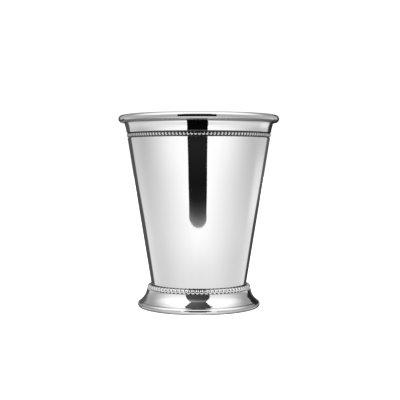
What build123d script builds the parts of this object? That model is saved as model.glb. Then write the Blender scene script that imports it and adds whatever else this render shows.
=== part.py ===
from build123d import *
from math import atan, cos, pi, radians, sin, sqrt
import os

os.makedirs("parts", exist_ok=True)

# Julep cup: tapered metal body with a rolled rim, a fine bead wire under the rim,
# a pearl ring over the seam and a flared ogee foot.
# Millimetres. The axis of the cup is Z, and the foot stands on z = 0.

# ---------------------------------------------------------------- driving dimensions
cup_height = 101.6          # top of the rolled rim
sheet = 0.9                 # body sheet thickness
film = 0.1                  # solder film

# body wall: a straight cone between the bottom corner and the bead seat
wall_r_low = 25.095         # outer radius at wall_z_low
wall_z_low = 11.07
wall_slope = 0.162          # radius gained per mm of height
floor_z = 9.96              # underside of the body's floor
corner_r = 3.0              # outer radius of the bottom corner

# rolled rim: a hollow outward curl
curl_r = 1.97               # outer radius of the curl
curl_centre_r = 40.60
curl_end_deg = 242.0        # where the sheet edge stops, measured about the curl's centre
flare_start = 2.25          # distance above the band's middle where the wall flares
flare_pull = 3.1            # length of the end tangents where the wall flares into the rim

# upper bead wire and its rolled seat in the wall
band_z = 90.97              # height of the band's middle on the wall
band_beads = 126
band_turn_deg = 2.0         # turn of the ring of beads about the axis
band_bead_r = 1.25          # radius of each bead's rounded front
band_proud = 0.16           # how far the beads stand out of the wall
band_strip = 0.54           # depth of the wire's web between the beads
band_back = 0.74            # depth of the wire's flat back below the wall
web_half = 0.95             # half width of the wire's web
seat_depth = 0.80           # depth of the seat's floor below the wall
seat_half = 1.30            # half width of the seat's floor, along the wall
seat_mouth = 1.42           # half width of the seat at the wall's surface

# pearl ring over the seam
pearl_count = 74
pearl_turn_deg = 0.85       # turn of the ring of pearls about the axis
pearl_r = 1.25
pearl_ring_r = 26.14        # radius of the circle of pearl centres
pearl_z = 11.0
pearl_back_r = 25.30        # the ring's back is turned to this radius
core_r = 0.90               # the round core that the pearls stand on
core_ring_r = 26.05
core_z = 11.25

# foot
foot_sheet = 0.8
ledge_z = 9.86              # top of the flange that carries the body
flange_hole_r = 19.5
ledge_r = 27.711            # outer radius of the ledge, where the ogee starts
ledge_lean = 0.113          # radius gained per mm down at the top of the ogee
ledge_edge_r = 0.12         # rounding of the ledge's edge
ogee_in_r = 27.0            # inner radius of the foot under its flange
ogee_end_z = 4.40           # where the ogee's curve runs out straight
ogee_end_deg = 45.73        # how far its surface leans back there
lip_r = 1.73                # rounding of the foot's lip
lip_centre_r = 30.855
lip_turn_deg = 73.599       # where the ogee meets the lip in a crease
lip_in_deg = 68.4           # where the inside leaves the lip
rest_inner_r = 29.25        # inner edge of the flat rest flange

# ---------------------------------------------------------------- helpers
taper = atan(wall_slope)
wall_at_band = wall_r_low + (band_z - wall_z_low) * wall_slope
curl_z = cup_height - curl_r


def wall_r(z):
    """Outer radius of the straight wall at a height."""
    return wall_r_low + (z - wall_z_low) * wall_slope


def on_wall(s, depth):
    """A point s along the wall from the band's middle and depth below its surface."""
    return (
        wall_at_band + s * sin(taper) - depth * cos(taper),
        band_z + s * cos(taper) + depth * sin(taper),
    )


def about_curl(radius, deg):
    """A point on a circle about the rim curl's centre."""
    a = radians(deg)
    return (curl_centre_r + radius * cos(a), curl_z + radius * sin(a))


def about_lip(radius, deg):
    """A point on a circle about the foot lip's centre."""
    a = radians(deg)
    return (lip_centre_r + radius * cos(a), lip_r + radius * sin(a))


# ---------------------------------------------------------------- cup body
# One sheet: floor, rounded corner, wall with the rolled seat, and the curled rim.
hollow_r = curl_r - sheet
flare_out = on_wall(flare_start, 0)
flare_in = on_wall(flare_start + 0.05, sheet)
curl_in_start = about_curl(hollow_r, 180)
curl_out_start = about_curl(curl_r, 180)
lean = (sin(taper) * flare_pull, cos(taper) * flare_pull)
floor_top = floor_z + sheet
# where the inner wall line meets the inner floor
inner_corner = (wall_r(floor_top) - sheet / cos(taper), floor_top)

with BuildPart() as cup_body:
    with BuildSketch(Plane.XZ) as body_section:
        with BuildLine() as body_outline:
            # outside, from the axis up to the flare
            FilletPolyline(
                (0, floor_z),
                (wall_r(floor_z), floor_z),
                on_wall(-seat_mouth, 0),
                on_wall(-seat_half, seat_depth),
                on_wall(seat_half, seat_depth),
                on_wall(seat_mouth, 0),
                flare_out,
                radius=[corner_r, 0.12, 0.1, 0.1, 0.12],
            )
            Bezier(
                flare_out,
                (flare_out[0] + lean[0], flare_out[1] + lean[1]),
                (curl_in_start[0], curl_in_start[1] - flare_pull),
                curl_in_start,
            )
            # inside of the curl, its rounded edge, and its outside
            ThreePointArc(
                curl_in_start,
                about_curl(hollow_r, 30),
                about_curl(hollow_r, curl_end_deg - 360),
            )
            ThreePointArc(
                about_curl(hollow_r, curl_end_deg - 360),
                (
                    about_curl(curl_r - sheet / 2, curl_end_deg - 360)[0]
                    + sin(radians(curl_end_deg)) * 0.3,
                    about_curl(curl_r - sheet / 2, curl_end_deg - 360)[1]
                    - cos(radians(curl_end_deg)) * 0.3,
                ),
                about_curl(curl_r, curl_end_deg - 360),
            )
            ThreePointArc(
                about_curl(curl_r, curl_end_deg - 360),
                about_curl(curl_r, 30),
                curl_out_start,
            )
            # inside of the cup, down to the axis
            Bezier(
                curl_out_start,
                (curl_out_start[0], curl_out_start[1] - flare_pull),
                (flare_in[0] + lean[0], flare_in[1] + lean[1]),
                flare_in,
            )
            FilletPolyline(
                flare_in,
                on_wall(seat_mouth + 0.65, sheet),
                on_wall(seat_half + 0.45, sheet + seat_depth - 0.06),
                on_wall(-seat_half - 0.45, sheet + seat_depth - 0.06),
                on_wall(-seat_mouth - 0.65, sheet),
                inner_corner,
                (0, floor_top),
                radius=[0.25, 0.4, 0.4, 0.4, corner_r - sheet],
            )
            Line((0, floor_top), (0, floor_z))
        make_face()
    revolve(axis=Axis.Z)
cup_body.part.label = "cup_body"

# ---------------------------------------------------------------- upper bead wire
# Low domed beads that run into each other, on a thin web with a flat back
# that follows the wall's cone.
bead_c = on_wall(0, band_bead_r - band_proud)   # centre of a bead's dome

with BuildPart() as upper_bead_wire:
    with BuildSketch(Plane.XZ) as web_section:
        with BuildLine() as web_outline:
            Polyline(
                on_wall(-web_half, band_back + 0.3),
                on_wall(-web_half, band_strip),
                on_wall(web_half, band_strip),
                on_wall(web_half, band_back + 0.3),
                close=True,
            )
        make_face()
    revolve(axis=Axis.Z)
    with Locations((0, 0, bead_c[1])):
        with PolarLocations(bead_c[0], band_beads, start_angle=band_turn_deg):
            Sphere(band_bead_r)
    with BuildSketch(Plane.XZ) as wire_back:
        with BuildLine() as wire_back_line:
            Polyline(
                (0, on_wall(-3, band_back)[1]),
                on_wall(-3, band_back),
                on_wall(3, band_back),
                (0, on_wall(3, band_back)[1]),
                close=True,
            )
        make_face()
    revolve(axis=Axis.Z, mode=Mode.SUBTRACT)
upper_bead_wire.part.label = "upper_bead_wire"

# solder between the wire's back and the floor of its seat
with BuildPart() as upper_wire_solder:
    with BuildSketch(Plane.XZ) as film_section:
        with BuildLine() as film_outline:
            Polyline(
                on_wall(-web_half + 0.06, seat_depth),
                on_wall(-web_half + 0.06, band_back),
                on_wall(web_half - 0.06, band_back),
                on_wall(web_half - 0.06, seat_depth),
                close=True,
            )
        make_face()
    revolve(axis=Axis.Z)
upper_wire_solder.part.label = "upper_wire_solder"

# ---------------------------------------------------------------- foot
# One sheet: flat flange, ogee, rounded lip and the in-turned flat that it stands on.
lip_top = about_lip(lip_r, lip_turn_deg)
lip_top_in = about_lip(lip_r - foot_sheet, lip_in_deg)
run_in = (-sin(radians(lip_in_deg)), cos(radians(lip_in_deg)))   # up along the inside
run = (-sin(radians(ogee_end_deg)), cos(radians(ogee_end_deg)))   # up along the ogee's end
ledge_under = ledge_z - foot_sheet
ogee_top = (ledge_r + ledge_lean * 0.27, ledge_z - 0.27)
ogee_end = (ledge_r + 2.596, ogee_end_z)

with BuildPart() as foot_skirt:
    with BuildSketch(Plane.XZ) as foot_section:
        with BuildLine() as foot_outline:
            FilletPolyline(
                (flange_hole_r, ledge_under),
                (flange_hole_r, ledge_z),
                (ledge_r, ledge_z),
                ogee_top,
                radius=[0.2, ledge_edge_r],
            )
            Bezier(
                ogee_top,
                (ogee_top[0] + ledge_lean * 2.516, ogee_top[1] - 2.516),
                (ogee_end[0] + run[0] * 1.369, ogee_end[1] + run[1] * 1.369),
                ogee_end,
            )
            Line(ogee_end, lip_top)
            ThreePointArc(lip_top, about_lip(lip_r, -20), about_lip(lip_r, -90))
            FilletPolyline(
                about_lip(lip_r, -90),
                (rest_inner_r, 0),
                (rest_inner_r, foot_sheet),
                about_lip(lip_r - foot_sheet, -90),
                radius=[0.25, 0.25],
            )
            ThreePointArc(
                about_lip(lip_r - foot_sheet, -90),
                about_lip(lip_r - foot_sheet, -20),
                lip_top_in,
            )
            Bezier(
                lip_top_in,
                (lip_top_in[0] + run_in[0] * 1.36, lip_top_in[1] + run_in[1] * 1.36),
                (ogee_in_r, 6.68),
                (ogee_in_r, ledge_under - 0.35),
            )
            FilletPolyline(
                (ogee_in_r, ledge_under - 0.35),
                (ogee_in_r, ledge_under),
                (flange_hole_r, ledge_under),
                radius=[0.3],
            )
        make_face()
    revolve(axis=Axis.Z)
foot_skirt.part.label = "foot_skirt"

# ---------------------------------------------------------------- pearl ring
# Pearls on a round core, flat behind against the body and below on the ledge.
with BuildPart() as foot_bead_wire:
    with Locations((0, 0, core_z)):
        Torus(core_ring_r, core_r)
    with Locations((0, 0, pearl_z)):
        with PolarLocations(pearl_ring_r, pearl_count, start_angle=pearl_turn_deg):
            Sphere(pearl_r)
    with BuildSketch(Plane.XY.offset(ledge_z - 1)) as pearl_bore:
        Circle(pearl_back_r)
    extrude(amount=5, mode=Mode.SUBTRACT)
    with BuildSketch(Plane.XY.offset(ledge_z - 1)) as pearl_seat:
        Circle(pearl_ring_r + 3)
    extrude(amount=1 + film / 2, mode=Mode.SUBTRACT)
foot_bead_wire.part.label = "foot_bead_wire"

# solder fillet behind the pearls, between the body's corner and the ledge
corner_c = (
    wall_r(floor_z + corner_r) - corner_r / cos(taper),
    floor_z + corner_r,
)


def on_corner(deg):
    """A point on the body's bottom corner, measured about the corner's centre."""
    a = radians(deg)
    return (corner_c[0] + corner_r * cos(a), corner_c[1] + corner_r * sin(a))


fillet_in = on_corner(-72)
fillet_out = on_corner(-31)
with BuildPart() as foot_wire_solder:
    with BuildSketch(Plane.XZ) as fillet_section:
        with BuildLine() as fillet_outline:
            Polyline(
                fillet_in,
                (fillet_in[0], ledge_z),
                (pearl_back_r, ledge_z),
                (pearl_back_r, fillet_out[1] - 0.15),
                fillet_out,
            )
            ThreePointArc(fillet_out, on_corner(-50), fillet_in)
        make_face()
    revolve(axis=Axis.Z)
foot_wire_solder.part.label = "foot_wire_solder"

# solder between the body's floor and the foot's flange, with a small fillet at the hole
with BuildPart() as foot_solder_joint:
    with BuildSketch(Plane.XZ) as joint_section:
        with BuildLine() as joint_outline:
            Polyline(
                (corner_c[0] - 0.2, floor_z),
                (corner_c[0] - 0.2, ledge_z),
                (flange_hole_r + 0.2, ledge_z),
            )
            ThreePointArc(
                (flange_hole_r + 0.2, ledge_z),
                (flange_hole_r + 0.2 - 0.2 * sin(pi / 4), ledge_z - 0.2 + 0.2 * cos(pi / 4)),
                (flange_hole_r, ledge_z - 0.2),
            )
            Line((flange_hole_r, ledge_z - 0.2), (flange_hole_r, ledge_z - 0.5))
            ThreePointArc(
                (flange_hole_r, ledge_z - 0.5),
                (flange_hole_r - 0.24, floor_z - 0.24),
                (flange_hole_r - 0.62, floor_z),
            )
            Line((flange_hole_r - 0.62, floor_z), (corner_c[0] - 0.2, floor_z))
        make_face()
    revolve(axis=Axis.Z)
foot_solder_joint.part.label = "foot_solder_joint"

# ---------------------------------------------------------------- write
export_step(cup_body.part, "parts/cup_body.step")
export_step(upper_bead_wire.part, "parts/upper_bead_wire.step")
export_step(upper_wire_solder.part, "parts/upper_wire_solder.step")
export_step(foot_skirt.part, "parts/foot_skirt.step")
export_step(foot_bead_wire.part, "parts/foot_bead_wire.step")
export_step(foot_wire_solder.part, "parts/foot_wire_solder.step")
export_step(foot_solder_joint.part, "parts/foot_solder_joint.step")

for piece in (
    cup_body,
    upper_bead_wire,
    upper_wire_solder,
    foot_skirt,
    foot_bead_wire,
    foot_wire_solder,
    foot_solder_joint,
):
    box = piece.part.bounding_box()
    print(
        piece.part.label,
        "solids", len(piece.part.solids()),
        "volume", round(piece.part.volume, 1),
        "z", round(box.min.Z, 3), round(box.max.Z, 3),
        "radius", round(box.max.X, 3),
    )
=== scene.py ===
from math import asin, atan, atan2, ceil, cos, degrees, hypot, pi, radians, sin, sqrt, tan

import bmesh
import bpy
from mathutils import Matrix, Vector


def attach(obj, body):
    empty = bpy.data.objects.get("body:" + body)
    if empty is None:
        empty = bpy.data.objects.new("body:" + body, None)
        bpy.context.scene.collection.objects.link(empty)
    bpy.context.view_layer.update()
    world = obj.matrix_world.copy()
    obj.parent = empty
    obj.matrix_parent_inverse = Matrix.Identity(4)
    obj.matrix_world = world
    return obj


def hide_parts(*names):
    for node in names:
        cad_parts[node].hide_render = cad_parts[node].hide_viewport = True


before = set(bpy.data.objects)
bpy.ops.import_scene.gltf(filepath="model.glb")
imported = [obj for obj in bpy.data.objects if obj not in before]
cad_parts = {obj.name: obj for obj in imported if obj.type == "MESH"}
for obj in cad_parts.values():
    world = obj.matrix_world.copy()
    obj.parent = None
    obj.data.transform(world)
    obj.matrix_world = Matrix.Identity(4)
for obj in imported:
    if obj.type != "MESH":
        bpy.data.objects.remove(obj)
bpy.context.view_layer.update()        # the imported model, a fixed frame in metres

MM = 0.001
scene = bpy.context.scene

# ------------------------------------------------------------------ sizes in millimetres
cup_height = 101.6
sheet = 0.9
wall_r_low, wall_z_low, wall_slope = 25.095, 11.07, 0.162
floor_z, corner_r = 9.96, 3.0
curl_r, curl_centre_r, curl_end_deg = 1.97, 40.60, 242.0
flare_start, flare_pull = 2.25, 3.1
band_z, band_beads, band_turn_deg = 90.97, 126, 2.0
band_bead_r, band_proud = 1.25, 0.16
band_strip, band_back, web_half = 0.54, 0.74, 0.95
seat_depth, seat_half, seat_mouth = 0.80, 1.30, 1.42
pearl_count, pearl_r, pearl_ring_r, pearl_z, pearl_back_r = 74, 1.25, 26.14, 11.0, 25.30
core_r, core_ring_r, core_z = 0.90, 26.05, 11.25
pearl_floor_z, pearl_turn_deg = 9.91, 0.85
foot_sheet, ledge_z, flange_hole_r, ledge_r, ledge_edge_r = 0.8, 9.86, 19.5, 27.711, 0.12
ledge_lean, ogee_in_r, ogee_end_z, ogee_end_deg = 0.113, 27.0, 4.40, 45.73
lip_r, lip_centre_r, lip_turn_deg, lip_in_deg, rest_inner_r = 1.73, 30.855, 73.599, 68.4, 29.25

taper = atan(wall_slope)
wall_at_band = wall_r_low + (band_z - wall_z_low) * wall_slope
curl_z = cup_height - curl_r


def wall_r(z):
    return wall_r_low + (z - wall_z_low) * wall_slope


def on_wall(s, depth):
    return (
        wall_at_band + s * sin(taper) - depth * cos(taper),
        band_z + s * cos(taper) + depth * sin(taper),
    )


def about(centre, radius, deg):
    a = radians(deg)
    return (centre[0] + radius * cos(a), centre[1] + radius * sin(a))


def ramp(a, b, x):
    """0 below a, 1 above b, smooth between."""
    t = min(1.0, max(0.0, (x - a) / (b - a)))
    return t * t * (3 - 2 * t)


# ------------------------------------------------------------------ section lines
class Section:
    """A section line: points with the direction of travel, and the finish of the face that ends there."""

    def __init__(self):
        self.points = []

    def put(self, r, z, tr, tz, finish):
        if self.points and hypot(self.points[-1][0] - r, self.points[-1][1] - z) < 1e-6:
            return
        length = hypot(tr, tz)
        self.points.append((r, z, tr / length, tz / length, finish))

    def line(self, a, b, finish, step=2.5):
        length = hypot(b[0] - a[0], b[1] - a[1])
        if length < 1e-7:
            return
        n = max(1, ceil(length / step))
        marks = [i / n for i in range(n + 1)]
        near = [d / length for d in (0.06, 0.2, 0.4, 0.7) if d < 0.45 * length]
        marks = sorted(set(marks + near + [1 - d for d in near]))
        for t in marks:
            self.put(a[0] + (b[0] - a[0]) * t, a[1] + (b[1] - a[1]) * t, b[0] - a[0], b[1] - a[1], finish)

    def arc(self, centre, radius, a0, a1, finish, step=6.0):
        n = max(3, ceil(abs(a1 - a0) / step))
        way = 1 if a1 > a0 else -1
        for i in range(n + 1):
            a = radians(a0 + (a1 - a0) * i / n)
            self.put(
                centre[0] + radius * cos(a), centre[1] + radius * sin(a), -way * sin(a), way * cos(a), finish
            )

    def bezier(self, p0, p1, p2, p3, finish, n=28):
        for i in range(n + 1):
            t = i / n
            u = 1 - t
            b = (u**3, 3 * u * u * t, 3 * u * t * t, t**3)
            d = (-3 * u * u, 3 * u * u - 6 * u * t, 6 * u * t - 3 * t * t, 3 * t * t)
            four = (p0, p1, p2, p3)
            self.put(
                sum(k * p[0] for k, p in zip(b, four)),
                sum(k * p[1] for k, p in zip(b, four)),
                sum(k * p[0] for k, p in zip(d, four)),
                sum(k * p[1] for k, p in zip(d, four)),
                finish,
            )

    def rounded(self, corners, radii, finish, step=6.0):
        last = corners[0]
        for i in range(1, len(corners) - 1):
            a, b, c = corners[i - 1], corners[i], corners[i + 1]
            l1, l2 = hypot(b[0] - a[0], b[1] - a[1]), hypot(c[0] - b[0], c[1] - b[1])
            d1 = ((b[0] - a[0]) / l1, (b[1] - a[1]) / l1)
            d2 = ((c[0] - b[0]) / l2, (c[1] - b[1]) / l2)
            turn = atan2(d1[0] * d2[1] - d1[1] * d2[0], d1[0] * d2[0] + d1[1] * d2[1])
            radius = radii[i - 1]
            back = radius * tan(abs(turn) / 2)
            start = (b[0] - d1[0] * back, b[1] - d1[1] * back)
            side = 1 if turn > 0 else -1
            centre = (start[0] - side * d1[1] * radius, start[1] + side * d1[0] * radius)
            self.line(last, start, finish)
            a0 = degrees(atan2(start[1] - centre[1], start[0] - centre[0]))
            self.arc(centre, radius, a0, a0 + degrees(turn), finish, step)
            last = (b[0] + d2[0] * back, b[1] + d2[1] * back)
        self.line(last, corners[-1], finish)

    def turned_round(self):
        other = Section()
        points = self.points
        for i in range(len(points) - 1, -1, -1):
            r, z, tr, tz, _ = points[i]
            finish = points[(i + 1) % len(points)][4]
            other.points.append((r, z, -tr, -tz, finish))
        return other


def spin(name, section, finishes, materials, painted_shade, sides=360, closed=False):
    """A closed mesh turned about Z from a section line, with exact normals."""
    verts, normals, rings, shade_paint = [], [], [], []
    for r, z, tr, tz, finish in section.points:
        nr, nz = tz, -tr
        # painted shade level for each ring, from the given function
        shade_paint += [painted_shade(r, z, finish)] * (1 if r < 1e-6 else sides)
        if r < 1e-6:
            rings.append([len(verts)])
            verts.append((0, 0, z * MM))
            normals.append((0, 0, 1.0 if nz > 0 else -1.0))
            continue
        ring = []
        for j in range(sides):
            a = 2 * pi * j / sides
            ring.append(len(verts))
            verts.append((r * cos(a) * MM, r * sin(a) * MM, z * MM))
            normals.append((nr * cos(a), nr * sin(a), nz))
        rings.append(ring)
    faces, which = [], []
    count = len(rings)
    for i in range(count if closed else count - 1):
        a, b = rings[i], rings[(i + 1) % count]
        finish = finishes.index(section.points[(i + 1) % count][4])
        for j in range(sides):
            k = (j + 1) % sides
            if len(a) == 1:
                faces.append((a[0], b[k], b[j]))
            elif len(b) == 1:
                faces.append((a[j], a[k], b[0]))
            else:
                faces.append((a[j], a[k], b[k], b[j]))
            which.append(finish)
    mesh = bpy.data.meshes.new(name)
    mesh.from_pydata(verts, [], faces)
    mesh.update()
    mesh.polygons.foreach_set("use_smooth", [True] * len(faces))
    mesh.polygons.foreach_set("material_index", which)
    for m in materials:
        mesh.materials.append(m)
    mesh.normals_split_custom_set_from_vertices(normals)
    # painted shade, stored per vertex for the material
    mesh.attributes.new("painted_shade", "FLOAT", "POINT").data.foreach_set("value", shade_paint)
    obj = bpy.data.objects.new(name, mesh)
    scene.collection.objects.link(obj)
    return obj


# ------------------------------------------------------------------ materials
def node(tree, kind, **values):
    n = tree.nodes.new(kind)
    for k, v in values.items():
        setattr(n, k, v)
    return n


def maths(tree, op, a, b=None, clamp=False):
    n = node(tree, "ShaderNodeMath", operation=op, use_clamp=clamp)
    for i, v in enumerate((a, b)):
        if v is None:
            continue
        if isinstance(v, (int, float)):
            n.inputs[i].default_value = v
        else:
            tree.links.new(v, n.inputs[i])
    return n.outputs[0]


def spread(tree, value, low, high, to_low, to_high):
    n = node(tree, "ShaderNodeMapRange")
    tree.links.new(value, n.inputs["Value"])
    for k, v in zip(("From Min", "From Max", "To Min", "To Max"), (low, high, to_low, to_high)):
        n.inputs[k].default_value = v
    return n.outputs["Result"]


def noise(tree, vector, scale, detail=3.0, rough=0.55):
    n = node(tree, "ShaderNodeTexNoise")
    n.inputs["Scale"].default_value = scale
    n.inputs["Detail"].default_value = detail
    n.inputs["Roughness"].default_value = rough
    tree.links.new(vector, n.inputs["Vector"])
    return n.outputs["Fac"]


def polished(name, tone, rough, lines, line_depth, line_share, smear, bump):
    """Turned and polished metal: fine rings about Z, soft smears and a slightly uneven tone."""
    mat = bpy.data.materials.new(name)
    mat.use_nodes = True
    t = mat.node_tree
    t.nodes.clear()
    out = node(t, "ShaderNodeOutputMaterial")
    shader = node(t, "ShaderNodeBsdfPrincipled")
    t.links.new(shader.outputs[0], out.inputs[0])
    shader.inputs["Metallic"].default_value = 1.0
    shader.inputs["Specular IOR Level"].default_value = 0.5
    place = node(t, "ShaderNodeTexCoord").outputs["Object"]
    parts = node(t, "ShaderNodeSeparateXYZ")
    t.links.new(place, parts.inputs[0])
    x, y, z = parts.outputs
    r = maths(t, "SQRT", maths(t, "ADD", maths(t, "MULTIPLY", x, x), maths(t, "MULTIPLY", y, y)))
    # rings left by polishing on the lathe: they follow height and radius
    along = maths(t, "ADD", maths(t, "MULTIPLY", z, lines), maths(t, "MULTIPLY", r, lines * 0.83))
    wave = node(t, "ShaderNodeCombineXYZ")
    t.links.new(along, wave.inputs[0])
    t.links.new(maths(t, "MULTIPLY", x, 55.0), wave.inputs[1])
    t.links.new(maths(t, "MULTIPLY", y, 55.0), wave.inputs[2])
    rings = noise(t, wave.outputs[0], 1.0, 4.0, 0.6)
    patches = noise(t, place, 70.0, 3.0, 0.5)
    smears = noise(t, place, 26.0, 5.0, 0.62)
    ringed = maths(t, "MULTIPLY", maths(t, "SUBTRACT", rings, 0.5), spread(t, patches, 0.3, 0.7, 0.35, 1.0))
    roughness = maths(
        t,
        "ADD",
        maths(t, "MULTIPLY", ringed, line_share),
        spread(t, smears, 0.35, 0.75, rough, rough + smear),
        clamp=True,
    )
    colour = node(t, "ShaderNodeMix", data_type="RGBA")
    colour.inputs["A"].default_value = (*tone[0], 1)
    colour.inputs["B"].default_value = (*tone[1], 1)
    t.links.new(spread(t, smears, 0.3, 0.7, 0.0, 1.0), colour.inputs["Factor"])
    # painted shade: the base colour turns dark and rougher in the crevices, where shade falls
    shade_paint = node(t, "ShaderNodeAttribute", attribute_name="painted_shade").outputs["Fac"]
    shade_paint = maths(t, "MULTIPLY", shade_paint, spread(t, patches, 0.3, 0.7, 0.90, 1.0), clamp=True)
    shade_mix = node(t, "ShaderNodeMix", data_type="RGBA")
    shade_mix.inputs["B"].default_value = (0.040, 0.039, 0.038, 1)
    t.links.new(shade_paint, shade_mix.inputs["Factor"])
    t.links.new(colour.outputs["Result"], shade_mix.inputs["A"])
    t.links.new(shade_mix.outputs["Result"], shader.inputs["Base Color"])
    roughness = maths(t, "ADD", maths(t, "MAXIMUM", roughness, 0.015), maths(t, "MULTIPLY", shade_paint, 0.30))
    t.links.new(roughness, shader.inputs["Roughness"])
    relief = node(t, "ShaderNodeBump")
    relief.inputs["Strength"].default_value = bump
    relief.inputs["Distance"].default_value = line_depth
    t.links.new(rings, relief.inputs["Height"])
    t.links.new(relief.outputs[0], shader.inputs["Normal"])
    return mat


mirror = polished(
    "mirror_polish", ((0.905, 0.905, 0.905), (0.935, 0.935, 0.935)), 0.030, 9000.0, 1.2e-6, 0.030, 0.020, 0.25
)
inside = polished(
    "spun_satin", ((0.84, 0.84, 0.84), (0.90, 0.90, 0.90)), 0.13, 5200.0, 6.0e-6, 0.14, 0.07, 0.5
)
under = polished(
    "spun_under", ((0.80, 0.80, 0.80), (0.87, 0.87, 0.87)), 0.16, 4300.0, 8.0e-6, 0.16, 0.08, 0.5
)
bead_bright = polished(
    "bead_polish", ((0.88, 0.88, 0.88), (0.93, 0.93, 0.93)), 0.040, 6000.0, 1.0e-6, 0.020, 0.030, 0.2
)
tinned = polished(
    "solder_satin", ((0.50, 0.50, 0.49), (0.66, 0.66, 0.65)), 0.30, 900.0, 2.5e-5, 0.10, 0.15, 0.6
)

# ------------------------------------------------------------------ cup body
hollow_r = curl_r - sheet
curl_c = (curl_centre_r, curl_z)
flare_out = on_wall(flare_start, 0)
flare_in = on_wall(flare_start + 0.05, sheet)
curl_in_start = about(curl_c, hollow_r, 180)
curl_out_start = about(curl_c, curl_r, 180)
lean = (sin(taper) * flare_pull, cos(taper) * flare_pull)
floor_top = floor_z + sheet
inner_corner = (wall_r(floor_top) - sheet / cos(taper), floor_top)

body = Section()
body.line((0, floor_z), (wall_r(floor_z) - 4.2, floor_z), "under")
body.rounded(
    [
        (wall_r(floor_z) - 4.2, floor_z),
        (wall_r(floor_z), floor_z),
        on_wall(-seat_mouth, 0),
        on_wall(-seat_half, seat_depth),
        on_wall(seat_half, seat_depth),
        on_wall(seat_mouth, 0),
        flare_out,
    ],
    [corner_r, 0.12, 0.1, 0.1, 0.12],
    "out",
)
body.bezier(
    flare_out,
    (flare_out[0] + lean[0], flare_out[1] + lean[1]),
    (curl_in_start[0], curl_in_start[1] - flare_pull),
    curl_in_start,
    "out",
    36,
)
end_deg = curl_end_deg - 360
body.arc(curl_c, hollow_r, 180, end_deg, "out", 7.5)
edge_u = (cos(radians(end_deg)), sin(radians(end_deg)))
edge_w = (sin(radians(end_deg)), -cos(radians(end_deg)))
edge_mid = about(curl_c, curl_r - sheet / 2, end_deg)
edge_round = (0.45**2 + 0.3**2) / 0.6
edge_c = tuple(edge_mid[k] + edge_w[k] * (0.3 - edge_round) for k in (0, 1))
edge_half = asin(0.45 / edge_round)
for i in range(9):
    q = -edge_half + 2 * edge_half * i / 8
    body.put(
        edge_c[0] + edge_round * (sin(q) * edge_u[0] + cos(q) * edge_w[0]),
        edge_c[1] + edge_round * (sin(q) * edge_u[1] + cos(q) * edge_w[1]),
        cos(q) * edge_u[0] - sin(q) * edge_w[0],
        cos(q) * edge_u[1] - sin(q) * edge_w[1],
        "out",
    )
body.arc(curl_c, curl_r, end_deg, 180, "out", 3.0)
body.bezier(
    curl_out_start,
    (curl_out_start[0], curl_out_start[1] - flare_pull),
    (flare_in[0] + lean[0], flare_in[1] + lean[1]),
    flare_in,
    "in",
    24,
)
body.rounded(
    [
        flare_in,
        on_wall(seat_mouth + 0.65, sheet),
        on_wall(seat_half + 0.45, sheet + seat_depth - 0.06),
        on_wall(-seat_half - 0.45, sheet + seat_depth - 0.06),
        on_wall(-seat_mouth - 0.65, sheet),
        inner_corner,
        (0, floor_top),
    ],
    [0.25, 0.4, 0.4, 0.4, corner_r - sheet],
    "in",
)


def body_painted_shade(r, z, finish):
    """Painted shade in the bead seat, at the seam over the foot and under the rolled rim."""
    if finish != "out":
        return 0.0
    dr, dz = r - wall_at_band, z - band_z
    s = dr * sin(taper) + dz * cos(taper)
    depth = dz * sin(taper) - dr * cos(taper)
    if abs(s) < seat_mouth + 0.1:
        return 0.85 * ramp(0.02, 0.35, depth)
    if z < 14:
        return 0.50 * ramp(12.0, 12.2, z) * (1 - ramp(12.5, 12.75, z))
    if z > 96:
        out = hypot(r - curl_centre_r, z - curl_z)
        deg = degrees(atan2(z - curl_z, r - curl_centre_r))
        if out > curl_r + 0.03:
            # painted shade on the wall that leads into the hollow of the curl
            return 0.9 * ramp(97.1, 97.6, z)
        if out < curl_r - 0.02:
            return 1.0
        return 1 - ramp(-92, -66, deg) if -150 < deg < -40 else 0.0
    return 0.0


cup = spin("cup_body_spun", body, ["out", "in", "under"], [mirror, inside, under], body_painted_shade)
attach(cup, "root")
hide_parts("cup_body")

# ------------------------------------------------------------------ foot
lip_c = (lip_centre_r, lip_r)
lip_top = about(lip_c, lip_r, lip_turn_deg)
lip_top_in = about(lip_c, lip_r - foot_sheet, lip_in_deg)
run_in = (-sin(radians(lip_in_deg)), cos(radians(lip_in_deg)))
run = (-sin(radians(ogee_end_deg)), cos(radians(ogee_end_deg)))
ledge_under = ledge_z - foot_sheet
ogee_top = (ledge_r + ledge_lean * 0.27, ledge_z - 0.27)
ogee_end = (ledge_r + 2.596, ogee_end_z)

foot = Section()
foot.rounded(
    [
        (flange_hole_r, ledge_under),
        (flange_hole_r, ledge_z),
        (ledge_r, ledge_z),
        ogee_top,
    ],
    [0.2, ledge_edge_r],
    "out",
)
foot.bezier(
    ogee_top,
    (ogee_top[0] + ledge_lean * 2.516, ogee_top[1] - 2.516),
    (ogee_end[0] + run[0] * 1.369, ogee_end[1] + run[1] * 1.369),
    ogee_end,
    "out",
    40,
)
foot.line(ogee_end, (lip_top[0] + run[0] * 0.02, lip_top[1] + run[1] * 0.02), "out", 0.2)
foot.arc(lip_c, lip_r, lip_turn_deg, -90, "out", 3.0)
foot.rounded(
    [
        about(lip_c, lip_r, -90),
        (rest_inner_r, 0),
        (rest_inner_r, foot_sheet),
        about(lip_c, lip_r - foot_sheet, -90),
    ],
    [0.25, 0.25],
    "under",
)
foot.arc(lip_c, lip_r - foot_sheet, -90, lip_in_deg, "under", 7.0)
foot.bezier(
    lip_top_in,
    (lip_top_in[0] + run_in[0] * 1.36, lip_top_in[1] + run_in[1] * 1.36),
    (ogee_in_r, 6.68),
    (ogee_in_r, ledge_under - 0.35),
    "under",
    26,
)
foot.rounded(
    [
        (ogee_in_r, ledge_under - 0.35),
        (ogee_in_r, ledge_under),
        (flange_hole_r, ledge_under),
    ],
    [0.3],
    "under",
)
foot.points.pop()


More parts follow.
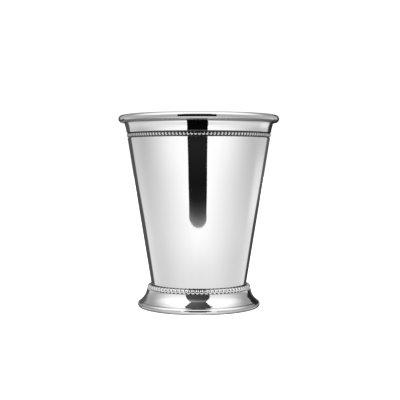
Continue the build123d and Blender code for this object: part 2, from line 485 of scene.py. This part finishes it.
def foot_painted_shade(r, z, finish):
    """Painted shade on the ledge under the pearls, and a faint painted dark line in the crease where the ogee
    runs into the lip.
    """
    if finish != "out":
        return 0.0
    if z > 9.7:
        return 0.6 * (1 - ramp(26.3, 26.8, r))
    return 0.55 * ramp(3.28, 3.38, z) * (1 - ramp(3.42, 3.60, z)) if r > 30.5 else 0.0


skirt = spin("foot_skirt_spun", foot.turned_round(), ["out", "under"], [mirror, under], foot_painted_shade, closed=True)
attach(skirt, "root")
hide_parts("foot_skirt")


# ------------------------------------------------------------------ bead wires
def finish_mesh(name, bm, material):
    mesh = bpy.data.meshes.new(name)
    bm.normal_update()
    bm.to_mesh(mesh)
    bm.free()
    mesh.materials.append(material)
    obj = bpy.data.objects.new(name, mesh)
    scene.collection.objects.link(obj)
    return obj


def ball(radius, around, along):
    """A sphere with its poles on X."""
    bm = bmesh.new()
    bmesh.ops.create_uvsphere(bm, u_segments=around, v_segments=along, radius=radius)
    bmesh.ops.rotate(bm, cent=(0, 0, 0), matrix=Matrix.Rotation(pi / 2, 3, "Y"), verts=bm.verts)
    for f in bm.faces:
        f.smooth = True
    return bm


def cut(bm, co, no, fill):
    got = bmesh.ops.bisect_plane(
        bm,
        geom=bm.verts[:] + bm.edges[:] + bm.faces[:],
        dist=1e-6,
        plane_co=co,
        plane_no=no,
        clear_outer=True,
    )
    edges = [g for g in got["geom_cut"] if isinstance(g, bmesh.types.BMEdge)]
    for e in edges:
        e.smooth = False
    if fill:
        bmesh.ops.contextual_create(bm, geom=edges)


def ring_of(one, count, turn_deg, centre, shade_paint):
    """Copies of one bead round the axis, each kept to its own share of the ring and joined to the next."""
    half = pi / count
    for way in (1, -1):
        cut(one, (-centre[0], 0, 0), (-sin(half), way * cos(half), 0), False)
    # painted shade for each vertex, from its place and its share across the gap
    layer = one.verts.layers.float.new("painted_shade")
    for v in one.verts:
        v[layer] = shade_paint(v.co, abs(v.co.y) / ((centre[0] + v.co.x) * tan(half)))
    mesh = bpy.data.meshes.new("one_bead")
    one.to_mesh(mesh)
    one.free()
    whole = bmesh.new()
    for i in range(count):
        start = len(whole.verts)
        whole.from_mesh(mesh)
        whole.verts.ensure_lookup_table()
        place = Matrix.Translation((centre[0], 0, centre[1]))
        turn = Matrix.Rotation(2 * pi * i / count + radians(turn_deg), 4, "Z") @ place
        bmesh.ops.transform(whole, matrix=Matrix.Scale(MM, 4) @ turn, verts=whole.verts[start:])
    bpy.data.meshes.remove(mesh)
    bmesh.ops.remove_doubles(whole, verts=whole.verts, dist=2e-6)
    return whole


# upper wire: low domed beads that run into each other, on a thin web
bead_axis = band_bead_r - band_proud
out_dir = Vector((cos(taper), 0, -sin(taper)))
up_dir = Vector((sin(taper), 0, cos(taper)))
dome = ball(band_bead_r, 44, 40)
cut(dome, out_dir * (bead_axis - band_back), -out_dir, True)
beads = ring_of(
    dome,
    band_beads,
    band_turn_deg,
    on_wall(0, bead_axis),
    # painted shade between neighbours and by the seat, more of it above than below
    lambda co, between: max(
        0.95 * ramp(0.42, 0.84, between),
        ramp(0.48, 0.80, co.dot(up_dir)),
        ramp(0.95, 1.15, -co.dot(up_dir)),
    ),
)
bead_shade_layer = beads.verts.layers.float["painted_shade"]
web = [
    on_wall(-web_half, band_back),
    on_wall(web_half, band_back),
    on_wall(web_half, band_strip),
    on_wall(-web_half, band_strip),
]
loops = []
WEB_SIDES = 504
for j in range(WEB_SIDES):
    a = 2 * pi * j / WEB_SIDES
    loops.append([beads.verts.new((p[0] * cos(a) * MM, p[0] * sin(a) * MM, p[1] * MM)) for p in web])
    # the web behind the beads is painted fully dark, as shade
    for v in loops[-1]:
        v[bead_shade_layer] = 1.0
for j in range(WEB_SIDES):
    one, two = loops[j], loops[(j + 1) % WEB_SIDES]
    for k in range(4):
        n = (k + 1) % 4
        f = beads.faces.new((one[k], one[n], two[n], two[k]))
        f.smooth = True
        for e in f.edges:
            pair = {e.verts[0], e.verts[1]}
            if pair <= {one[k], two[k]} or pair <= {one[n], two[n]}:
                e.smooth = False
bmesh.ops.recalc_face_normals(beads, faces=beads.faces)
upper = finish_mesh("upper_bead_row", beads, bead_bright)
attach(upper, "root")
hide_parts("upper_bead_wire")

# pearl ring: pearls on a round core, flat below and behind
def pearl_painted_shade(x, z, between):
    """Painted shade behind, in the crease by the body and in the middle of the gaps."""
    gap = ramp(0.4, 0.8, between)
    return max(
        1 - ramp(-0.75, -0.55, x),
        (0.85 - 0.25 * gap) * (1 - ramp(-0.15 - 0.25 * gap, 0.40 - 0.30 * gap, x)) * ramp(0.3, 0.7, z),
        0.7 * ramp(0.58, 0.90, between) * ramp(0.2, 0.6, x) * (1 - ramp(0.10, 0.42, abs(z - 0.30))),
    )


pearl = ball(pearl_r, 44, 32)
cut(pearl, (0, 0, pearl_floor_z - pearl_z), (0, 0, -1), True)
cut(pearl, (pearl_back_r - pearl_ring_r, 0, 0), (-1, 0, 0), True)
pearls = ring_of(
    pearl,
    pearl_count,
    pearl_turn_deg,
    (pearl_ring_r, pearl_z),
    lambda co, between: pearl_painted_shade(co.x, co.z, between),
)
CORE_SIDES, CORE_ROUND = pearl_count * 12, 32
flat = sqrt(core_r**2 - (pearl_back_r - core_ring_r) ** 2)
turn_back = atan2(flat, pearl_back_r - core_ring_r)
core_shade_layer = pearls.verts.layers.float["painted_shade"]
loops = []
for j in range(CORE_SIDES):
    a = 2 * pi * j / CORE_SIDES
    between = abs((a - radians(pearl_turn_deg)) / (2 * pi / pearl_count) % 1 - 0.5)
    loop = []
    for i in range(CORE_ROUND + 1):
        q = turn_back * (1 - 2 * i / CORE_ROUND)
        r, z = core_ring_r + core_r * cos(q), core_z + core_r * sin(q)
        v = pearls.verts.new((r * cos(a) * MM, r * sin(a) * MM, z * MM))
        # painted shade on the core, as on the pearls
        v[core_shade_layer] = pearl_painted_shade(r - pearl_ring_r, z - pearl_z, 1 - 2 * between)
        loop.append(v)
    loops.append(loop)
for j in range(CORE_SIDES):
    one, two = loops[j], loops[(j + 1) % CORE_SIDES]
    for k in range(CORE_ROUND + 1):
        n = (k + 1) % (CORE_ROUND + 1)
        f = pearls.faces.new((one[k], one[n], two[n], two[k]))
        f.smooth = True
for j in range(CORE_SIDES):
    for k in (0, CORE_ROUND):
        pearls.edges.get((loops[j][k], loops[(j + 1) % CORE_SIDES][k])).smooth = False
bmesh.ops.recalc_face_normals(pearls, faces=pearls.faces)
ring = finish_mesh("foot_pearl_row", pearls, bead_bright)
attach(ring, "root")
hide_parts("foot_bead_wire")

# solder pieces keep their CAD shapes
for name in ("upper_wire_solder", "foot_wire_solder", "foot_solder_joint"):
    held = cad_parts[name]
    held.data.materials.clear()
    held.data.materials.append(tinned)

# ------------------------------------------------------------------ floor and studio
def emission(name):
    mat = bpy.data.materials.new(name)
    mat.use_nodes = True
    mat.node_tree.nodes.clear()
    out = node(mat.node_tree, "ShaderNodeOutputMaterial")
    return mat, mat.node_tree, out


# pale floor
floor_mat, t, out = emission("pale_floor")
place = node(t, "ShaderNodeTexCoord").outputs["Object"]
paper = noise(t, place, 18.0, 4.0, 0.5)
shade = node(t, "ShaderNodeBsdfDiffuse")
tone = node(t, "ShaderNodeMix", data_type="RGBA")
tone.inputs["A"].default_value = (0.86, 0.86, 0.86, 1)
tone.inputs["B"].default_value = (0.90, 0.90, 0.90, 1)
t.links.new(paper, tone.inputs["Factor"])
t.links.new(tone.outputs["Result"], shade.inputs["Color"])
glow = node(t, "ShaderNodeEmission")
glow.inputs["Strength"].default_value = 1.0
both = node(t, "ShaderNodeAddShader")
t.links.new(shade.outputs[0], both.inputs[0])
t.links.new(glow.outputs[0], both.inputs[1])
t.links.new(both.outputs[0], out.inputs[0])
mesh = bpy.data.meshes.new("floor")
grid = bmesh.new()
bmesh.ops.create_circle(grid, cap_ends=True, segments=96, radius=6.0)
grid.to_mesh(mesh)
grid.free()
mesh.materials.append(floor_mat)
floor = bpy.data.objects.new("floor", mesh)
floor.location = (0, 0, -0.00005)
scene.collection.objects.link(floor)
floor.visible_glossy = False

# a light tent round the cup: bright in front and above, grey at the sides, dark behind
tent_mat, t, out = emission("light_tent")
level = node(t, "ShaderNodeAttribute", attribute_name="level")
cloth = noise(t, node(t, "ShaderNodeTexCoord").outputs["Object"], 2.0, 2.0, 0.5)
lamp = node(t, "ShaderNodeEmission")
t.links.new(
    maths(t, "MULTIPLY", level.outputs["Fac"], spread(t, cloth, 0.0, 1.0, 0.985, 1.015)), lamp.inputs["Strength"]
)
t.links.new(lamp.outputs[0], out.inputs[0])

# level of light by height: in front, at the sides, and the azimuths between which it goes from one to the other
RINGS = [
    (-90, 0.55, 0.28, 30, 120),
    (-60, 0.68, 0.28, 40, 115),
    (-40, 0.66, 0.32, 40, 110),
    (-32, 0.64, 0.45, 30, 110),
    (-28.5, 0.78, 0.66, 20, 95),
    (-26, 0.83, 0.70, 25, 90),
    (-24.7, 0.92, 0.70, 15, 95),
    (-23.1, 1.06, 0.71, -5, 105),
    (-21.5, 1.16, 0.68, -20, 110),
    (-18.3, 1.18, 0.60, -10, 112),
    (-15.5, 1.08, 0.55, 28, 105),
    (-13.5, 1.04, 0.51, 30, 105),
    (-8, 0.66, 0.45, 35, 110),
    (-4, 0.64, 0.42, 40, 120),
    (1.5, 0.90, 0.39, 45, 128),
    (14, 1.00, 0.37, 50, 128),
    (22, 1.08, 0.34, 70, 138),
    (34, 1.12, 0.38, 75, 145),
    (41, 1.12, 0.42, 80, 150),
    (52, 1.12, 0.62, 85, 145),
    (62, 1.12, 0.80, 85, 140),
    (90, 1.08, 1.00, 40, 120),
]


def tent_level(x, y, z):
    length = sqrt(x * x + y * y + z * z)
    az = degrees(atan2(abs(x), -y))
    # the bands of light dip in front, as a leaning wall gathers them
    q = z / length - 0.3157 * (1 - cos(radians(az / 2)))
    q = degrees(asin(max(-1.0, q)))
    value = 0.0
    for low, high in zip(RINGS, RINGS[1:]):
        if low[0] <= q <= high[0]:
            k = (q - low[0]) / (high[0] - low[0])
            a = low[1] + (low[2] - low[1]) * ramp(low[3], low[4], az)
            b = high[1] + (high[2] - high[1]) * ramp(high[3], high[4], az)
            value = a + (b - a) * k
            break
    wall = ramp(-30, -27, q) * (1 - ramp(-13, -9, q))
    value *= 1 + 0.12 * wall * ramp(100, 130, az)
    low, high = 1 - ramp(-34, -27, q), ramp(-12, -8, q)
    if x > 0:
        value *= 1 - 0.12 * high * (1 - ramp(14, 40, q))
        value *= 1 + 0.24 * ramp(-22.5, -20.5, q) * (1 - ramp(-16.8, -15.6, q)) * ramp(105, 122, az)
    start = 136 - 12 * low - (14 * high * (1 - ramp(3, 7, q)) if x > 0 else 0)
    deep = 1 - ramp(-22, -18, q)
    start += wall * (4 - 3 * deep if x > 0 else -0.3 - 4.2 * deep)
    dark = 0.015 + wall * (0.09 - 0.045 * deep) if x > 0 else 0.05 + 0.06 * high + 0.035 * wall
    dark += 0.11 * low
    behind = ramp(start, start + 13 - 8 * wall, az) * (1 - 0.72 * ramp(2, 8.5, q)) * (1 - ramp(28, 42, q))
    value += (dark - value) * behind
    # a lighter panel straight behind
    value += (max(value, 0.55) - value) * ramp(166, 175, az)
    # the roof reaches down behind
    return max(value, 0.75 * ramp(26, 36, q) * ramp(135, 150, az))


TENT_R = 1.6
mesh = bpy.data.meshes.new("light_tent")
grid = bmesh.new()
bmesh.ops.create_uvsphere(grid, u_segments=240, v_segments=180, radius=TENT_R)
grid.to_mesh(mesh)
grid.free()
levels = mesh.attributes.new("level", "FLOAT", "POINT")
levels.data.foreach_set("value", [tent_level(*v.co) for v in mesh.vertices])
mesh.materials.append(tent_mat)
mesh.polygons.foreach_set("use_smooth", [True] * len(mesh.polygons))
tent = bpy.data.objects.new("light_tent", mesh)
tent.location = (0, 0, 0.05)
scene.collection.objects.link(tent)
tent.visible_camera = False


def unseen(name, verts, faces, material, levels):
    """A card that only reflections show."""
    mesh = bpy.data.meshes.new(name)
    mesh.from_pydata([tuple(c * MM for c in v) for v in verts], [], faces)
    mesh.materials.append(material)
    mesh.attributes.new("level", "FLOAT", "POINT").data.foreach_set("value", levels)
    obj = bpy.data.objects.new(name, mesh)
    scene.collection.objects.link(obj)
    obj.visible_camera = False
    obj.visible_diffuse = False
    obj.visible_shadow = False


# the dark opening of the tent, in front of the cup
OPENING = [  # (height, left edge, right edge, level of light)
    (-66.6, -26, 7, 0.25),
    (-66.4, -49, 30, 0.25),
    (-66.1, -63, 44, 0.245),
    (-65.7, -74, 55, 0.24),
    (-65.2, -82, 63, 0.235),
    (-64.6, -89, 70, 0.23),
    (-63.8, -94, 75, 0.22),
    (-62.8, -97, 78, 0.20),
    (-61.5, -98, 79, 0.175),
    (-60.1, -97, 78, 0.15),
    (-57.5, -95.5, 76.5, 0.105),
    (-54, -95, 76, 0.063),
    (-48, -94, 76, 0.030),
    (-43, -94, 76, 0.014),
    (-30, -94, 75, 0.008),
    (-11, -91, 71, 0.012),
    (2, -91, 70, 0.016),
    (18.5, -91, 70, 0.012),
    (24, -142, 114, 0.03),
    (30, -152, 124, 0.05),
    (50, -154, 127, 0.055),
    (92, -152, 127, 0.06),
    (146, -147, 124, 0.06),
    (202, -138, 115, 0.105),
    (267, -131, 103, 0.24),
    (320, -131, 97, 0.32),
]
verts, faces, levels = [], [], []
for i, (h, x0, x1, v) in enumerate(OPENING):
    verts += [(x0, -300, h), (x1, -300, h)]
    tilt = 0.35 * ramp(20, 50, h)   # lighter to the left
    levels += [v * (1 + tilt), v * (1 - tilt)]
    if i:
        faces.append((2 * i - 2, 2 * i - 1, 2 * i + 1, 2 * i))
unseen("tent_opening", verts, faces, tent_mat, levels)

# a grey hoop level with the rim, which tones its lower half
HOOP_R, HOOP_SIDES = 48.0, 240
verts, faces, levels = [], [], []
for j in range(HOOP_SIDES):
    a = 2 * pi * j / HOOP_SIDES
    off = abs(degrees(atan2(sin(a), -cos(a))))   # angle from straight in front
    low = (93.9 if sin(a) < 0 else 93.7) + 2.6 * ramp(50, 75, off)
    low -= 8.0 * ramp(87, 91, off) if sin(a) > 0 else 0.0
    high = 102.8 + 1.2 * ramp(50, 85, off)
    verts += [(HOOP_R * sin(a), HOOP_R * cos(a), low), (HOOP_R * sin(a), HOOP_R * cos(a), high)]
    levels += [0.43 + 0.04 * ramp(30, 60, off) - (0.44 if sin(a) > 0 else 0.40) * ramp(87, 95, off)] * 2
for j in range(HOOP_SIDES):
    k = (j + 1) % HOOP_SIDES
    faces.append((2 * j, 2 * k, 2 * k + 1, 2 * j + 1))
unseen("rim_hoop", verts, faces, tent_mat, levels)

# dark strips close in front: one for the rim and one for the beads and the flare
verts, faces, levels = [], [], []
STRIP = [(95.6, 0.004), (100.0, 0.004), (102.0, 0.010), (103.0, 0.030)]
for i in range(13):
    a = radians(-15.7 + 28.95 * i / 12)
    for z, v in STRIP:
        verts.append((47.5 * sin(a), -47.5 * cos(a), z))
        levels.append(v)
    if i:
        for k in range(3):
            b, c = 4 * (i - 1) + k, 4 * i + k
            faces.append((b, c, c + 1, b + 1))
unseen("rim_strip", verts, faces, tent_mat, levels)
verts = [(-6.55, -41.0, 89.9), (4.8, -41.0, 89.9), (4.8, -41.0, 97.0), (-6.55, -41.0, 97.0)]
unseen("bead_strip", verts, [(0, 1, 2, 3)], tent_mat, [0.002] * 4)

# a low grey hoop round the foot's lip, open in front
LOW_HOOP = [(18, 0.53), (34, 0.53), (40, 0.46), (46, 0.40), (52, 0.33), (60, 0.31), (75, 0.27), (180, 0.27)]
verts, faces, levels = [], [], []
for j in range(221):
    off = 18 + 324 * j / 220
    a = radians(off)
    off = min(off, 360 - off)
    for (p, u), (q, v) in zip(LOW_HOOP, LOW_HOOP[1:]):
        if p <= off <= q:
            grey = u + (v - u) * (off - p) / (q - p)
    verts += [(36.35 * sin(a), -36.35 * cos(a), 0.2), (36.35 * sin(a), -36.35 * cos(a), 4.3)]
    levels += [grey * (0.92 if sin(a) > 0 else 1.0)] * 2
    if j:
        faces.append((2 * j - 2, 2 * j, 2 * j + 1, 2 * j - 1))
unseen("lip_hoop", verts, faces, tent_mat, levels)

# a dark card over the foot, which shows only from below
card_mat, t, out = emission("dark_card")
level = node(t, "ShaderNodeAttribute", attribute_name="level")
lamp = node(t, "ShaderNodeEmission")
t.links.new(level.outputs["Fac"], lamp.inputs["Strength"])
clear = node(t, "ShaderNodeBsdfTransparent")
side = node(t, "ShaderNodeMixShader")
t.links.new(node(t, "ShaderNodeNewGeometry").outputs["Backfacing"], side.inputs["Fac"])
t.links.new(lamp.outputs[0], side.inputs[1])
t.links.new(clear.outputs[0], side.inputs[2])
t.links.new(side.outputs[0], out.inputs[0])
CARD = [(92, 0.16), (82, 0.115), (70, 0.095), (50, 0.085), (0, 0.075)]   # distance in front, level of light
verts, faces, levels = [], [], []
for i in range(17):
    x = -26.5 + 50.5 * i / 16
    for far, v in CARD:
        # its inner edge runs round the wall
        verts.append((x, -max(far, sqrt(37.0**2 - x * x)), 80))
        levels.append(v * (1.35 - 0.75 * i / 16))
    if i:
        for k in range(4):
            a, b = 5 * (i - 1) + k, 5 * i + k
            faces.append((a, a + 1, b + 1, b))
unseen("foot_card", verts, faces, card_mat, levels)

# a small light card low in front of the foot, for its lip alone
verts = [(-30, -33.25, 7), (26, -33.25, 7), (26, -36.95, 7), (-30, -36.95, 7)]
unseen("lip_card", verts, [(0, 1, 2, 3)], card_mat, [1.05, 1.0, 1.0, 1.05])

# a dark card that leans beside the foot's upper part and shows only from below
verts = [(30, -6.5, 14), (30, -1.4, 14), (54, 42, 6.4), (54, 17.1, 6.4)]
unseen("side_card", verts, [(0, 1, 2, 3)], card_mat, [0.022] * 4)

# a thin light ring on the ledge, which only the undersides of the pearls show
verts, faces, levels = [], [], []
for j in range(180):
    a = 2 * pi * j / 180
    off = abs(degrees(atan2(sin(a), cos(a))))
    for r in (26.86, 27.66):
        verts.append((r * sin(a), -r * cos(a), 9.95))
        levels.append(0.80 - 0.30 * ramp(35, 65, off))
    k = (j + 1) % 180
    faces.append((2 * j, 2 * j + 1, 2 * k + 1, 2 * k))
unseen("ledge_ring", verts, faces, card_mat, levels)

# a dark strip close in front of the pearls, which shows only from behind
verts, faces, levels = [], [], []
for i in range(13):
    a = radians(-14.4 + 25.3 * i / 12)
    for z in (10.3, 11.25):
        verts.append((28.2 * sin(a), -28.2 * cos(a), z))
        levels.append(0.03)
    if i:
        faces.append((2 * i - 2, 2 * i - 1, 2 * i + 1, 2 * i))
unseen("pearl_strip", verts, faces, card_mat, levels)

# plain white surroundings for what the camera sees past the floor
world = bpy.data.worlds.new("white_room")
world.use_nodes = True
scene.world = world
back = world.node_tree.nodes["Background"]
back.inputs["Color"].default_value = (1, 1, 1, 1)
back.inputs["Strength"].default_value = 1.1

# ------------------------------------------------------------------ camera
cam = bpy.data.cameras.new("camera")
cam.sensor_fit = "HORIZONTAL"
cam.sensor_width = 36.0
cam.lens = 916.12 / 400 * 36.0
cam.clip_start = 0.01
cam.clip_end = 50
eye = bpy.data.objects.new("camera", cam)
eye.matrix_world = (
    Matrix.Translation((0.00064, -0.488018, 0.074886))
    @ Matrix.Rotation(radians(90 - 2.1266), 4, "X")
    @ Matrix.Rotation(radians(0.0), 4, "Z")
)
scene.collection.objects.link(eye)
scene.camera = eye
scene.view_settings.view_transform = "Standard"
scene.view_settings.look = "None"

bpy.context.view_layer.update()
